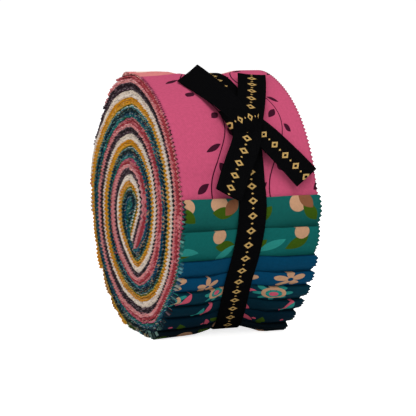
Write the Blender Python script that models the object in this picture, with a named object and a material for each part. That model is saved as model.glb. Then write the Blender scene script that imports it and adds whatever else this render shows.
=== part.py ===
"""A roll of quilting fabric strips, tied round the waist with a narrow ribbon.

Forty strips, each folded once across, are stacked and wound together into one roll. The roll's axis
lies along X. Units are metres, +Z is up, and the origin is under the middle of the finished part, on
the surface that it rests on.

Angles round the roll are in degrees, clockwise from the top as seen on the -X end, so that 90 is the
front (-Y). Following the winding clockwise leads inward. Each strip's outer end is a rounded fold, and
clockwise from the first fold every strip lies over the one before it, like shingles.
"""

import math

import bmesh
import bpy
from mathutils import Matrix, Vector

MM = 0.001

# ---- driving sizes -------------------------------------------------------------------------------
STRIP_WIDTH = 63.5 * MM
STRIP_COUNT = 40
TURN_PITCH = 18.8 * MM           # radial thickness of one turn, forty folded strips
FLOOR_DROP = 53.6 * MM           # from the winding centre down to the flat spot
TURN_GAP = 0.5 * MM              # open slit between one turn and the next
END_BEVEL = 0.45 * MM            # softened edge of every turn on both end faces
WAIST_DEPTH = 2.8 * MM           # how far the tied ribbon draws the roll in
WAIST_UNEVEN = 0.8 * MM          # deeper by this much underneath, shallower by it on top
WAIST_REACH = 16.0 * MM          # depth below the outline at which the waist has faded out

RIBBON_WIDTH = 12.7 * MM
RIBBON_THICKNESS = 1.0 * MM
CLEARANCE = 0.3 * MM             # between the ribbon and the fabric
KNOT_ANGLE = 47.0
KNOT_X = 4.0 * MM
KNOT_SIZE = (17.0 * MM, 14.0 * MM, 4.8 * MM)     # along X, round the roll, outward
KNOT_TAPER = 0.68                # width of the knot's lower edge over that of its upper edge
KNOT_SEAT = 1.0 * MM             # how far the knot's underside lies below the roll's full outline
KNOT_ROUNDING = 1.9 * MM

# ---- the outline of the wound roll ---------------------------------------------------------------
# One row for each stretch of the hand-wound outline, with its radius from the winding centre.
# Where a radius reaches below the flat spot, the roll is pressed flat.
OUTLINE = (
    # angle, radius in mm
    (0, 63.0),
    (20, 61.4),
    (45, 60.9),
    (70, 61.0),
    (84, 63.3),
    (100, 61.9),
    (117, 59.0),
    (135, 57.0),
    (156, 59.2),
    (170, 56.2),
    (183, 53.7),
    (195, 53.5),
    (208, 54.4),
    (233, 54.9),
    (250, 56.7),
    (272, 58.4),
    (294, 60.0),
    (312, 58.8),
    (336, 60.8),
    (350, 63.0),
)

# Folded ends of the strips. The first ones are spaced unevenly, and the rest close up steadily.
FRONT_FOLDS = (79.5, 92.0, 104.5, 112.5, 121.0, 131.0, 139.5, 149.5, 159.0)
BACK_FOLDS = STRIP_COUNT - len(FRONT_FOLDS)
BACK_SPACING = 9.0               # degrees between the first two of the back folds
BACK_CLOSING = 0.094             # degrees by which half of each next spacing is shorter
FOLD_HEIGHT_PER_DEGREE = 0.12 * MM
FOLD_HEIGHT_MAX = 1.35 * MM
FOLD_BLUNTNESS = 0.9             # degrees over which the first fold's rounded end comes up
WRAP_STEPS = 20                  # pieces of the smooth last wrap

# Shape of one strip between its own fold and the next: share of the strip, share of the fold height.
STRIP_PROFILE = (
    # along, height
    (0.00, -0.75),
    (0.06, 0.12),
    (0.30, 0.32),
    (0.70, 0.08),
)

# The slit between the turns: a steady spiral, slightly out of round, loose where it starts.
SLIT_START_RADIUS = 60.4 * MM    # at angle 0, before any looseness
SLIT_END = 1104.0                # angle at which the slit runs out in the core
SLIT_STEP = 12.0
SLIT_LOOSENESS = 3.1 * MM
SLIT_LOOSE_END = 175.0           # angle by which the looseness has gone
OUT_OF_ROUND = (
    # waves per turn, cosine share, sine share
    (1, 0.031, 0.019),
    (2, -0.028, -0.007),
    (3, 0.013, 0.018),
)

# Rings across the width: place on X, inset of the end bevel, share of the waist.
RINGS = (
    (-0.5 * STRIP_WIDTH, END_BEVEL, 0.0),
    (-0.5 * STRIP_WIDTH + END_BEVEL, 0.0, 0.0),
    (-20.5 * MM, 0.0, 0.0),
    (-13.0 * MM, 0.0, 0.3),
    (-7.2 * MM, 0.0, 1.0),
    (7.2 * MM, 0.0, 1.0),
    (13.0 * MM, 0.0, 0.3),
    (20.5 * MM, 0.0, 0.0),
    (0.5 * STRIP_WIDTH - END_BEVEL, 0.0, 0.0),
    (0.5 * STRIP_WIDTH, END_BEVEL, 0.0),
)
WAIST_FOLD_SHARE = 0.4           # how much of a fold's height is left under the ribbon

# Where the middle of the ribbon runs round the roll.
RIBBON_PATH = (
    # angle, x in mm
    (0, 4.6),
    (25, 4.2),
    (47, 4.0),
    (80, 1.0),
    (115, -1.3),
    (138, 1.8),
    (160, 4.0),
    (200, 3.6),
    (280, 3.0),
    (345, 4.8),
)

# Free ends of the ribbon, from inside the knot outward.
TAILS = {
    "upper_left": (
        # angle, x in mm, lift of the underside in mm, tilt in degrees (+X side up)
        (47, 3.5, 2.0, 0),
        (38, -1.0, 1.9, 4),
        (27, -6.6, 2.1, 18),
        (16.3, -12.0, 3.4, 31),
    ),
    "upper_right": (
        (47, 5.0, 1.2, 0),
        (39, 9.0, 1.0, 0),
        (26, 15.0, 0.6, 0),
        (9.6, 22.0, 0.8, 0),
    ),
    "lower_left": (
        (47, 4.5, 2.3, 0),
        (57, 1.2, 1.7, 0),
        (66, -3.4, 1.5, 0),
        (78.0, -9.7, 2.6, 0),
    ),
    "lower_right": (
        (47, 4.0, 1.6, 0),
        (54, 10.8, 1.2, 0),
        (61.5, 17.2, 1.0, 0),
        (72.2, 26.4, 1.7, 0),
    ),
}
TAIL_STEPS = 4                   # pieces between two rows of a free end
BAND_STEPS = 72


# ---- small helpers -------------------------------------------------------------------------------
def smooth_between(rows, position, period=None):
    """Reads every column after the first of a table at a position, along a smooth curve."""
    keys = [row[0] for row in rows]
    count = len(rows)
    if period:
        position = position % period
        index = max(i for i in range(count) if keys[i] <= position)
    else:
        position = min(max(position, min(keys[0], keys[-1])), max(keys[0], keys[-1]))
        index = next(i for i in range(count - 1)
                     if min(keys[i], keys[i + 1]) <= position <= max(keys[i], keys[i + 1]))

    def row_at(i):
        if period:
            return (keys[i % count] + period * (i // count),) + tuple(rows[i % count][1:])
        return rows[min(max(i, 0), count - 1)]

    before, start, end, after = (row_at(index + i) for i in (-1, 0, 1, 2))
    span = end[0] - start[0]
    t = (position - start[0]) / span
    values = []
    for column in range(1, len(start)):
        left = (end[column] - before[column]) / (end[0] - before[0]) * span
        right = (after[column] - start[column]) / (after[0] - start[0]) * span
        values.append(
            (2 * t ** 3 - 3 * t ** 2 + 1) * start[column]
            + (t ** 3 - 2 * t ** 2 + t) * left
            + (3 * t ** 2 - 2 * t ** 3) * end[column]
            + (t ** 3 - t ** 2) * right
        )
    return values


def on_roll(angle, radius):
    """The point (y, z) at an angle and a radius, from the winding centre."""
    turn = math.radians(angle)
    return (-radius * math.sin(turn), radius * math.cos(turn))


def outline_radius(angle, raised=0.0):
    """Radius of the roll's outline, raised by a fold or lowered by a crease, pressed flat below."""
    radius = smooth_between(OUTLINE, angle, 360)[0] * MM + raised
    down = -math.cos(math.radians(angle))
    if down > 0.5:
        radius = min(radius, FLOOR_DROP / down)
    return radius


def slit_radius(angle):
    """Radius of the slit between the turns, at an angle that keeps on growing inward."""
    radius = SLIT_START_RADIUS - TURN_PITCH * angle / 360
    turn = math.radians(angle)
    shape = 1 + sum(c * math.cos(n * turn) + s * math.sin(n * turn) for n, c, s in OUT_OF_ROUND)
    start = FRONT_FOLDS[0]
    loose = max(0.0, 1 - (angle - start) / (SLIT_LOOSE_END - start))
    return radius * shape + SLIT_LOOSENESS * loose ** 1.5


def ribbon_x(angle):
    """Where the middle of the ribbon lies on X at an angle."""
    return smooth_between(RIBBON_PATH, angle, 360)[0] * MM


def waist_depth(angle):
    return WAIST_DEPTH - WAIST_UNEVEN * math.cos(math.radians(angle))


def fold_angles():
    """Angles of all the folded ends, clockwise from the first one."""
    angles = list(FRONT_FOLDS)
    for i in range(1, BACK_FOLDS + 1):
        angles.append(FRONT_FOLDS[-1] + BACK_SPACING * i - BACK_CLOSING * i * i)
    return angles


def mesh_object(name, bm, material):
    bmesh.ops.recalc_face_normals(bm, faces=bm.faces)
    mesh = bpy.data.meshes.new(name)
    bm.to_mesh(mesh)
    bm.free()
    mesh.materials.append(material)
    obj = bpy.data.objects.new(name, mesh)
    bpy.context.collection.objects.link(obj)
    return obj


def plain_material(name, color, roughness):
    material = bpy.data.materials.new(name)
    material.use_nodes = True
    shader = material.node_tree.nodes["Principled BSDF"]
    shader.inputs["Base Color"].default_value = (*color, 1.0)
    shader.inputs["Roughness"].default_value = roughness
    shader.inputs["Metallic"].default_value = 0.0
    return material


# ---- the wound fabric ----------------------------------------------------------------------------
def section():
    """The closed section of the wound roll, as (angle, radius, fold height) all the way round.

    It follows the outer face of the last wrap, dives with it under the first folded end, runs
    inward along the slit to the core, comes back along the slit's other side, and goes out over
    the shingled folds to where it began.
    """
    folds = fold_angles()
    wrap_start = folds[-1] - 360
    wrap_span = folds[0] - wrap_start
    points = []
    for i in range(WRAP_STEPS):
        angle = wrap_start + wrap_span * max(i, 0.15) / WRAP_STEPS
        points.append((angle, outline_radius(angle), 0.0))

    slit_steps = round((SLIT_END - folds[0]) / SLIT_STEP)
    slit = [folds[0] + (SLIT_END - folds[0]) * i / slit_steps for i in range(slit_steps + 1)]
    for angle in slit:
        points.append((angle, slit_radius(angle) - 0.5 * TURN_GAP, 0.0))
    for angle in reversed([folds[0] + FOLD_BLUNTNESS] + slit[1:]):
        points.append((angle, slit_radius(angle) + 0.5 * TURN_GAP, 0.0))

    for i, fold in enumerate(folds):
        span = (folds[i + 1] if i + 1 < len(folds) else fold + 360 / STRIP_COUNT) - fold
        height = min(FOLD_HEIGHT_MAX, FOLD_HEIGHT_PER_DEGREE * span)
        first = 1 if i == 0 else 0
        last = 1 if i + 1 == len(folds) else len(STRIP_PROFILE)
        for along, share in STRIP_PROFILE[first:last]:
            angle = fold + span * along
            points.append((angle, outline_radius(angle, share * height), share * height))
    return points


def drawn_in(angle, radius, raised, waist):
    """Radius of a point of the section where the ribbon draws the roll in by a share of its depth."""
    depth = outline_radius(angle, raised) - radius
    share = waist * max(0.0, 1 - depth / WAIST_REACH)
    return radius - share * (waist_depth(angle) + (1 - WAIST_FOLD_SHARE) * raised)


def inset_section(points, distance):
    """Moves each (y, z) of a counter-clockwise section into the material by a distance."""
    moved = []
    for i, (y, z) in enumerate(points):
        here = Vector((y, z))
        before = (here - Vector(points[i - 1])).normalized()
        after = (Vector(points[(i + 1) % len(points)]) - here).normalized()
        along = (before + after).normalized()
        moved.append(here + Vector((-along.y, along.x)) * distance)
    return moved


def build_fabric_roll():
    bm = bmesh.new()
    points = section()
    rings = []
    for x, inset, waist in RINGS:
        ring = [on_roll(angle, drawn_in(angle, radius, raised, waist))
                for angle, radius, raised in points]
        if inset:
            ring = inset_section(ring, inset)
        shifts = [ribbon_x(angle) if waist else 0.0 for angle, radius, raised in points]
        rings.append([bm.verts.new((x + shift, y, z)) for shift, (y, z) in zip(shifts, ring)])
    for near, far in zip(rings, rings[1:]):
        for i in range(len(points)):
            bm.faces.new((near[i - 1], near[i], far[i], far[i - 1]))
    bm.faces.new(rings[0])
    bm.faces.new(list(reversed(rings[-1])))
    return mesh_object("fabric_roll", bm, plain_material("quilting_cotton", (0.56, 0.12, 0.22), 0.85))


# ---- the tied ribbon -----------------------------------------------------------------------------
def outward(angle):
    y, z = on_roll(angle, 1.0)
    return Vector((0.0, y, z))


def ribbon_strip(name, frames, closed, material):
    """Sweeps the ribbon's flat section along frames of (middle of the underside, across, outward)."""
    bm = bmesh.new()
    rings = []
    for middle, across, out in frames:
        half = across * (0.5 * RIBBON_WIDTH)
        top = out * RIBBON_THICKNESS
        corners = (middle - half, middle + half, middle + half + top, middle - half + top)
        rings.append([bm.verts.new(co) for co in corners])
    pairs = list(zip(rings, rings[1:]))
    if closed:
        pairs.append((rings[-1], rings[0]))
    for near, far in pairs:
        for i in range(4):
            bm.faces.new((near[i - 1], near[i], far[i], far[i - 1]))
    if not closed:
        bm.faces.new(rings[0])
        bm.faces.new(list(reversed(rings[-1])))
    return mesh_object(name, bm, material)


def build_band(material):
    crest = max(share for along, share in STRIP_PROFILE) * FOLD_HEIGHT_MAX * WAIST_FOLD_SHARE
    frames = []
    for i in range(BAND_STEPS):
        angle = 360 * i / BAND_STEPS
        radius = outline_radius(angle) - waist_depth(angle) + crest + CLEARANCE
        y, z = on_roll(angle, radius)
        frames.append((Vector((ribbon_x(angle), y, z)), Vector((1, 0, 0)), outward(angle)))
    return ribbon_strip("ribbon", frames, True, material)


def build_tail(name, rows, material):
    middles = []
    tilts = []
    outs = []
    steps = TAIL_STEPS * (len(rows) - 1)
    for i in range(steps + 1):
        row = min(i // TAIL_STEPS, len(rows) - 2)
        share = i / TAIL_STEPS - row
        angle = rows[row][0] + (rows[row + 1][0] - rows[row][0]) * share
        x, lift, tilt = smooth_between(rows, angle)
        y, z = on_roll(angle, outline_radius(angle) + lift * MM)
        middles.append(Vector((x * MM, y, z)))
        tilts.append(math.radians(tilt))
        outs.append(outward(angle))
    frames = []
    for i, middle in enumerate(middles):
        along = (middles[min(i + 1, steps)] - middles[max(i - 1, 0)]).normalized()
        across = outs[i].cross(along).normalized()
        if across.x < 0:
            across.negate()
        out = outs[i] - along * outs[i].dot(along)
        out.normalize()
        tilted = across * math.cos(tilts[i]) + out * math.sin(tilts[i])
        frames.append((middle, tilted, (out * math.cos(tilts[i]) - across * math.sin(tilts[i]))))
    return ribbon_strip(name, frames, False, material)


def build_knot(material):
    """The pulled-tight knot: a soft rounded block, narrower below, seated over the band."""
    bm = bmesh.new()
    bmesh.ops.create_cube(bm, size=1.0)
    for vert in bm.verts:
        taper = KNOT_TAPER if vert.co.y > 0 else 1.0
        vert.co.x *= KNOT_SIZE[0] * taper
        vert.co.y *= KNOT_SIZE[1]
        vert.co.z *= KNOT_SIZE[2]
    bmesh.ops.bevel(bm, geom=bm.edges[:], offset=KNOT_ROUNDING, segments=3, profile=0.6,
                    affect="EDGES", clamp_overlap=True)
    out = outward(KNOT_ANGLE)
    down = Vector((1, 0, 0)).cross(out)
    radius = outline_radius(KNOT_ANGLE) - KNOT_SEAT + 0.5 * KNOT_SIZE[2]
    y, z = on_roll(KNOT_ANGLE, radius)
    middle = Vector((KNOT_X, y, z))
    for vert in bm.verts:
        vert.co = middle + Vector((1, 0, 0)) * vert.co.x + down * vert.co.y + out * vert.co.z
    return mesh_object("ribbon_knot", bm, material)


def build_ribbon():
    material = plain_material("woven_ribbon", (0.004, 0.004, 0.005), 0.6)
    band = build_band(material)
    pieces = [build_knot(material)]
    for place, rows in TAILS.items():
        pieces.append(build_tail("ribbon_end_" + place, rows, material))
    for piece in pieces:
        piece.hide_render = True
        piece.display_type = "WIRE"
        union = band.modifiers.new(piece.name, "BOOLEAN")
        union.operation = "UNION"
        union.solver = "EXACT"
        union.object = piece
    return [band] + pieces


# ---- the part ------------------------------------------------------------------------------------
def stand_on_origin(objects):
    """Moves everything so that the origin is under the middle of the part's box."""
    bpy.context.view_layer.update()
    graph = bpy.context.evaluated_depsgraph_get()
    corners = []
    for obj in objects:
        if obj.hide_render:
            continue
        shape = obj.evaluated_get(graph).to_mesh()
        corners.extend(vert.co.copy() for vert in shape.vertices)
    low = [min(co[i] for co in corners) for i in range(3)]
    high = [max(co[i] for co in corners) for i in range(3)]
    shift = Vector((-0.5 * (low[0] + high[0]), -0.5 * (low[1] + high[1]), -low[2]))
    for obj in objects:
        obj.data.transform(Matrix.Translation(shift))


def main():
    for old in list(bpy.data.objects):
        bpy.data.objects.remove(old, do_unlink=True)
    stand_on_origin([build_fabric_roll()] + build_ribbon())


main()
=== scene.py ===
"""Looks of a roll of quilting fabric strips, tied round the waist with a black ribbon.

Forty strips of quilting cotton, each folded once across, are stacked and wound together. Every strip
is its own sheet with pinked (zigzag) edges, laid along the same spiral as the roll's solid.

Angles round the roll are in degrees, clockwise from the top as seen on the -X end, so that 90 is the
front. An angle that keeps on growing follows the winding inward. Lengths are in metres.
"""

import math
import random

import bpy
import numpy as np
from mathutils import Matrix, Vector


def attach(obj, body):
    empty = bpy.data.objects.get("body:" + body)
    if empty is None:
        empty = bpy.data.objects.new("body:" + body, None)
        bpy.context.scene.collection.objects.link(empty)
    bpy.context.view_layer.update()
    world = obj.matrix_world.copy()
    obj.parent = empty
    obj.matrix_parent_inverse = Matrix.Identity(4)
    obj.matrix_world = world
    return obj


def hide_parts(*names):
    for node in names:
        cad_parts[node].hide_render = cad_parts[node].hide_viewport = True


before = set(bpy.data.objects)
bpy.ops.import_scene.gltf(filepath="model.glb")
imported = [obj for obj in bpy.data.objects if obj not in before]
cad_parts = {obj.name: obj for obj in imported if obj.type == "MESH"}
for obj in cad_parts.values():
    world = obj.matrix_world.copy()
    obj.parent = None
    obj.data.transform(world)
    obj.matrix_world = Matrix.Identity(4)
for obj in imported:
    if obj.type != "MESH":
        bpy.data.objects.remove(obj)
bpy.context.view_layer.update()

MM = 0.001

# ---- the roll's sizes ------------------------------------------------------------------------------
# The solid has the same ones, apart from its back folds and the depth of its creases.
STRIP_COUNT = 40
STRIP_WIDTH = 63.5 * MM
TURN_PITCH = 18.8 * MM               # thickness of one turn, forty folded strips
LAYER_PITCH = TURN_PITCH / STRIP_COUNT
FLOOR_DROP = 53.6 * MM               # from the winding centre down to the flat spot
FLOOR_FACING = 0.5                   # how far a face has to look down for the table to press it
WINDING_Y = 3.2 * MM                 # how far the winding centre lies behind the part's middle

OUTLINE = (
    # angle, radius in mm
    (0, 63.0), (20, 61.4), (45, 60.9), (70, 61.0), (84, 63.3), (100, 61.9), (117, 59.0),
    (135, 57.0), (156, 59.2), (170, 56.2), (183, 53.7), (195, 53.5), (208, 54.4), (233, 54.9),
    (250, 56.7), (272, 58.4), (294, 60.0), (312, 58.8), (336, 60.8), (350, 63.0),
)
# Angles of the strips' folded ends, from the first strip to the wrapper.
FRONT_FOLDS = (79.5, 92.0, 104.5, 112.5, 121.0, 131.0, 139.5, 149.5, 159.0)
BACK_FOLDS = (
    165.0, 171.0, 177.5, 184.0, 190.5, 198.0, 207.0, 219.0, 235.0, 249.0, 264.0, 277.0, 281.0,
    285.0, 289.0, 293.0, 297.0, 300.5, 302.5, 309.5, 311.5, 319.5, 322.0, 329.5, 333.5, 335.5,
    339.5, 341.5, 345.0, 348.5, 356.0,
)
FOLD_HEIGHT_PER_DEGREE = 0.12 * MM   # for each degree to the next fold
FOLD_HEIGHT_MAX = 1.35 * MM
WRAPPER_FOLD_HEIGHT = 0.5 * MM
WRAPPER_RISE = 4.0                   # degrees past its fold at which the wrapper has that height
WRAPPER_REACH = 8.0                  # degrees before the first fold up to which it keeps it
CREASE_SHARE = 1.4                   # depth of the crease at a fold over the fold's height
SPIRAL_START = 60.4 * MM             # inner side of the outermost turn, carried back to angle 0
OUT_OF_ROUND = (
    # waves per turn, cosine share, sine share
    (1, 0.031, 0.019), (2, -0.028, -0.007), (3, 0.013, 0.018),
)
WAIST_DEPTH = 2.8 * MM               # how far the tied ribbon draws the roll in
WAIST_UNEVEN = 0.8 * MM              # deeper by this much underneath, shallower by it on top
WAIST_REACH = 16.0 * MM              # depth into the roll at which the waist has faded out
WAIST_FOLD_SHARE = 0.4               # how much of a fold's height is left under the ribbon
RIBBON_PATH = (
    # angle, x in mm
    (0, 4.6), (25, 4.2), (47, 4.0), (80, 1.0), (115, -1.3), (138, 1.8), (160, 4.0),
    (200, 3.6), (280, 3.0), (345, 4.8),
)
RIBBON_WIDTH = 12.7 * MM
CLEARANCE = 0.3 * MM                 # between the ribbon and the cloth


def smooth_table(rows, period=None):
    """A function that reads the table's columns at a position, along a smooth curve."""
    keys = np.array([row[0] for row in rows], float)
    cols = np.array([row[1:] for row in rows], float)
    if period:
        keys = np.concatenate([keys - period, keys, keys + period])
        cols = np.concatenate([cols, cols, cols])
    slopes = np.gradient(cols, keys, axis=0)
    slopes[1:-1] = (cols[2:] - cols[:-2]) / (keys[2:] - keys[:-2])[:, None]

    def read(position):
        at = np.atleast_1d(np.asarray(position, float))
        at = at % period if period else np.clip(at, keys[0], keys[-1])
        i = np.clip(np.searchsorted(keys, at, side="right") - 1, 0, len(keys) - 2)
        span = (keys[i + 1] - keys[i])[:, None]
        t = (at - keys[i])[:, None] / span
        value = (
            (2 * t ** 3 - 3 * t ** 2 + 1) * cols[i]
            + (t ** 3 - 2 * t ** 2 + t) * slopes[i] * span
            + (3 * t ** 2 - 2 * t ** 3) * cols[i + 1]
            + (t ** 3 - t ** 2) * slopes[i + 1] * span
        )
        return value[:, 0] if value.shape[1] == 1 else value

    return read


def smoothstep(t):
    """0 up to t = 0 and 1 from t = 1, with a soft change between."""
    t = np.clip(t, 0, 1)
    return t * t * (3 - 2 * t)


outline_table = smooth_table(OUTLINE, 360)
ribbon_table = smooth_table(RIBBON_PATH, 360)

folds = np.array(FRONT_FOLDS + BACK_FOLDS)
fold_spans = np.diff(np.append(folds, folds[0] + 360))
fold_heights = np.minimum(FOLD_HEIGHT_MAX, FOLD_HEIGHT_PER_DEGREE * fold_spans)
fold_heights[-1] = WRAPPER_FOLD_HEIGHT


def outline_radius(angle, raised=0.0):
    """Radius of the roll's outline, raised or lowered, and pressed flat where it meets the table."""
    radius = outline_table(angle) * MM + raised
    down = -np.cos(np.radians(angle))
    pressed = np.minimum(radius, FLOOR_DROP / np.maximum(down, FLOOR_FACING))
    return np.where(down > FLOOR_FACING, pressed, radius)


def waist_depth(angle):
    """How far the ribbon draws the roll in at an angle."""
    return WAIST_DEPTH - WAIST_UNEVEN * np.cos(np.radians(angle))


def ribbon_x(angle):
    """Where the middle of the ribbon lies on X at an angle."""
    return ribbon_table(angle) * MM


def fold_height(angle):
    """Height of the folds near an angle, blended from one strip to the next."""
    middles = folds + 0.5 * fold_spans
    middles[-1] = folds[-1] + WRAPPER_RISE
    last = folds[0] + 360 - WRAPPER_REACH
    keys = np.concatenate([[last - 360], middles, [last, middles[0] + 360]])
    values = np.concatenate(
        [[WRAPPER_FOLD_HEIGHT], fold_heights, [WRAPPER_FOLD_HEIGHT, fold_heights[0]]]
    )
    first = keys[0]
    return np.interp((angle - first) % 360 + first, keys, values)


def folds_passed(angle):
    """How many folded ends lie between the first one and an unrolled angle, with the fraction."""
    turns = np.floor((angle - folds[0]) / 360)
    here = angle - 360 * turns
    keys = np.append(folds, folds[0] + 360)
    return np.interp(here, keys, np.arange(STRIP_COUNT + 1)) + STRIP_COUNT * turns


# ---- the winding -----------------------------------------------------------------------------------
TAIL_ANGLE = 1080.0                  # unrolled angle at which the winding leaves the spiral
TAIL_BEND = 9.0 * MM                 # bend radius of the stack's middle where it turns down
TAIL_TURN = 125.0                    # degrees through which it turns there
TAIL_LENGTH = 46.0 * MM
TAIL_LEVELS = (
    # levels of the stack, then where they come to lie past the spiral's end
    (0, 10, 14, 20, 25, 40),
    (0, 10.5, 18, 20, 23, 40),
)
TAIL_SETTLING = 14.0 * MM            # run over which they come to lie there
TAIL_LOOSENESS = 2.2 * MM            # how far the innermost strips sag there towards the core
TAIL_LOOSE_LENGTH = 17.0 * MM        # run over which they do
TIGHTEST_BEND = 0.1 * MM             # of the innermost strips, where the stack turns down
TAIL_SKIPPED = 10.0 * MM             # run past the spiral's end on which no strip ends
TAIL_ROOM = 0.3 * MM                 # left between a strip's end and the turn round it
TAIL_SEARCH_STEP = 0.2 * MM
TURN_OVERLAP = 10.0                  # degrees by which the spiral's last turn is carried on past its end
RUN_STEP = 0.25                      # degrees between the readings that turn angles into runs
PINCH_DEPTH = 4.2 * MM               # how far the inner turns are drawn to a point below the core
PINCH_ANGLE = 166.0                  # where that point lies
PINCH_SPREAD = 24.0                  # degrees over which it fades to the sides
PINCH_RADII = (17.0 * MM, 44.0 * MM)    # full up to the first, gone at the second
CORE_RISE = 1.2 * MM                 # how much higher the inner turns lie
RIPPLES = (
    # waves per turn, size over the radius, start; the soft lumps of a hand-tightened winding
    (5.1, 0.004, 1.0), (8.9, 0.004, 2.4), (13.1, 0.003, 0.3),
    (30.9, 0.004, 2.0), (44.1, 0.003, 0.7), (83.7, 0.002, 1.9),
)
SETTLED = 28.0                       # strips under which the outline's shape has given way
LOOSE_PLACES = (
    # middle and spread in degrees, where the outermost strips alone stand off the firm winding
    (92.0, 16.0), (158.0, 12.0),
)
LOOSE_STRIPS = 2.0                   # how many of them do
CREASE_STRIPS = 6                    # strips over which a crease's depth fades below the surface
FOLD_NOSE = 0.07                     # share of a strip's showing part that its rounded fold takes
FOLD_CROWN = (0.1, 0.3)              # its height behind the fold, and how much more it swells
CROWN_END = 0.85                     # share at which the swelling is over
FALL_START = 0.5                     # share at which it starts to sink under the next strip
FALL_CURVE = 2.2                     # the higher, the later it does
WRAPPER_NOSE = 0.012                 # the same shares for the wrapper, which lies level
WRAPPER_FALL_START = 0.93
CORE_START = 900.0                   # unrolled angle from which the innermost strips lie loose
CORE_FILL = 3.0 * MM                 # how far they spread into the core
CORE_LEVELS = 5.0                    # how many strips share the spreading
TOOTH = 1.9 * MM                     # pitch of the pinked edge
TOOTH_DEPTH = 1.0 * MM
PLY_GAP = 0.05 * MM                  # air between one folded strip and the next


def round_shape(angle):
    """The winding's radius over that of a true spiral: how it is out of round."""
    turn = np.radians(angle)
    return 1 + sum(c * np.cos(n * turn) + s * np.sin(n * turn) for n, c, s in OUT_OF_ROUND)


def spiral_radius(angle, level):
    """Radius inside the winding at an unrolled angle, level being the number of strips below."""
    radius = (SPIRAL_START - TURN_PITCH * angle / 360 + LAYER_PITCH * level) * round_shape(angle)
    turn = np.radians(angle)
    radius = radius * (1 + sum(size * np.sin(n * turn + start) for n, size, start in RIPPLES))
    off = (angle - PINCH_ANGLE + 180) % 360 - 180
    near, far = PINCH_RADII
    reach = smoothstep((far - radius) / (far - near))
    radius = radius + PINCH_DEPTH * reach * np.exp(-(off / PINCH_SPREAD) ** 2)
    radius = radius + CORE_RISE * reach * np.cos(turn)
    inner = np.clip((angle - CORE_START) / (TAIL_ANGLE - CORE_START), 0, 1)
    return radius - CORE_FILL * np.sin(np.pi * inner) * np.exp(-level / CORE_LEVELS)


def fold_profile(share, wrapper):
    """Height of a strip between its own fold and the next one, over the fold's height."""
    nose = WRAPPER_NOSE if wrapper else FOLD_NOSE
    rise = np.sqrt(np.clip(1 - (1 - np.clip(share / nose, 0, 1)) ** 2, 0, 1))
    if wrapper:
        crown = np.zeros_like(share)
    else:
        height, swell = FOLD_CROWN
        crown = height + swell * np.sin(np.pi * np.clip(share / CROWN_END, 0, 1))
    fall_start = WRAPPER_FALL_START if wrapper else FALL_START
    fall = np.clip((share - fall_start) / (1 - fall_start), 0, 1) ** FALL_CURVE
    top = -CREASE_SHARE + (crown + CREASE_SHARE) * rise
    return top * (1 - fall) - CREASE_SHARE * fall


def wound_radius(angle, level):
    """Radius of the surface with so many strips below it in its own turn, and how far it is raised."""
    over = folds_passed(angle) - level
    height = fold_height(angle)
    crease = -CREASE_SHARE * height
    plain = outline_radius(angle) + crease - np.maximum(over, 0) * LAYER_PITCH
    inside = spiral_radius(angle, level)
    depth = smoothstep(over / SETTLED)
    loose = 1 - np.exp(-np.maximum(over, 0) / LOOSE_STRIPS)
    for middle, spread in LOOSE_PLACES:
        depth = depth + (loose - depth) * np.exp(-((angle % 360 - middle) / spread) ** 2)
    covered = plain * (1 - depth) + inside * depth
    wrapper = level > STRIP_COUNT - 0.5
    raised = fold_profile(np.clip(over + 1, 0, 1), wrapper) * height
    shown = outline_radius(angle, raised)
    lift = np.where(over < 0, raised, crease * np.clip(1 - over / CREASE_STRIPS, 0, 1))
    return np.where(over < 0, shown, covered), lift


tail_start = (SPIRAL_START - TURN_PITCH * TAIL_ANGLE / 360) * round_shape(TAIL_ANGLE)
tail_middle = 0.5 * STRIP_COUNT


def tail_point(run, level):
    """(front, up) at a run past the spiral's end, where the stack turns down across the core."""
    pitch = LAYER_PITCH * round_shape(TAIL_ANGLE)
    centre_up = tail_start + tail_middle * pitch - TAIL_BEND
    turned = np.minimum(run / TAIL_BEND, math.radians(TAIL_TURN))
    straight = np.maximum(run - TAIL_BEND * math.radians(TAIL_TURN), 0)
    lying = level + (np.interp(level, *TAIL_LEVELS) - level) * smoothstep(run / TAIL_SETTLING)
    arm = np.maximum(TAIL_BEND + (lying - tail_middle) * pitch, TIGHTEST_BEND)
    loose = np.sin(np.pi * np.clip(straight / TAIL_LOOSE_LENGTH, 0, 1)) * np.exp(-level / CORE_LEVELS)
    arm = arm - TAIL_LOOSENESS * loose
    front = arm * np.sin(turned) + straight * np.cos(turned)
    up = centre_up + arm * np.cos(turned) - straight * np.sin(turned)
    return front, up


# Runs are lengths along the middle of the stack, from just before the first fold.
dense = np.arange(folds[0] - 2, TAIL_ANGLE + 0.1, RUN_STEP)
middle_radius = spiral_radius(dense, 0.5 * STRIP_COUNT)
dense_run = np.concatenate([[0], np.cumsum(0.5 * (middle_radius[1:] + middle_radius[:-1]))])
dense_run *= math.radians(RUN_STEP)
SPIRAL_RUN = dense_run[-1]


def run_at(angle):
    """The run at an unrolled angle."""
    return np.interp(angle, dense, dense_run)


def wound_point(run, level):
    """(front, up, lift) at a run along the middle of the stack, for one level of it."""
    angle = np.interp(run, dense_run, dense)
    radius, lift = wound_radius(angle, level)
    front = radius * np.sin(np.radians(angle))
    up = radius * np.cos(np.radians(angle))
    tail_front, tail_up = tail_point(np.maximum(run - SPIRAL_RUN, 0), level)
    past = run > SPIRAL_RUN
    return (
        np.where(past, tail_front, front),
        np.where(past, tail_up, up),
        np.where(past, 0.0, lift),
    )


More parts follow.
